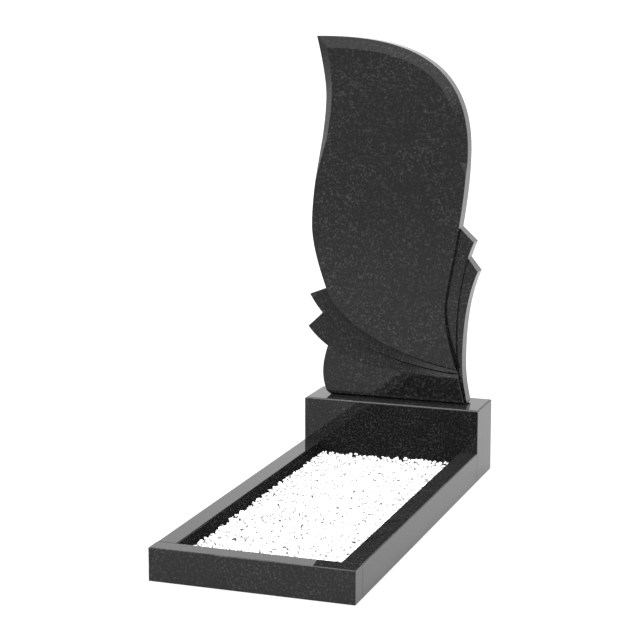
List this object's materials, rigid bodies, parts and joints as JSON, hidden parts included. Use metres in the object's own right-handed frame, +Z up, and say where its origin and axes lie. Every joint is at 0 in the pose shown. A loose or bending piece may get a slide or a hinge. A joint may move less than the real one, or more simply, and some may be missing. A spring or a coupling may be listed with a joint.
{
  "type": "headstone",
  "caption": "Polished dark granite grave monument: a leaf-shaped stele with ribbon carving on a pedestal, with a kerb of bars round a bed of white marble chips.",
  "frame": {"origin": "middle of the pedestal's underside, on the ground", "axes": "+Z up, +X to the right of someone who faces the carved side, -Y the way the leaf's face looks, along the bed"},
  "size_m": [0.509, 1.2, 1.2002],
  "materials": {
    "black_granite": "polished, near black with fine grey specks",
    "white_marble": "crushed chips, matt"
  },
  "bodies": {
    "root": {"stele": "black_granite", "pedestal": "black_granite", "kerb_front": "black_granite", "kerb_left": "black_granite", "kerb_right": "black_granite", "marble_chips": "white_marble"}
  },
  "joints": []
}
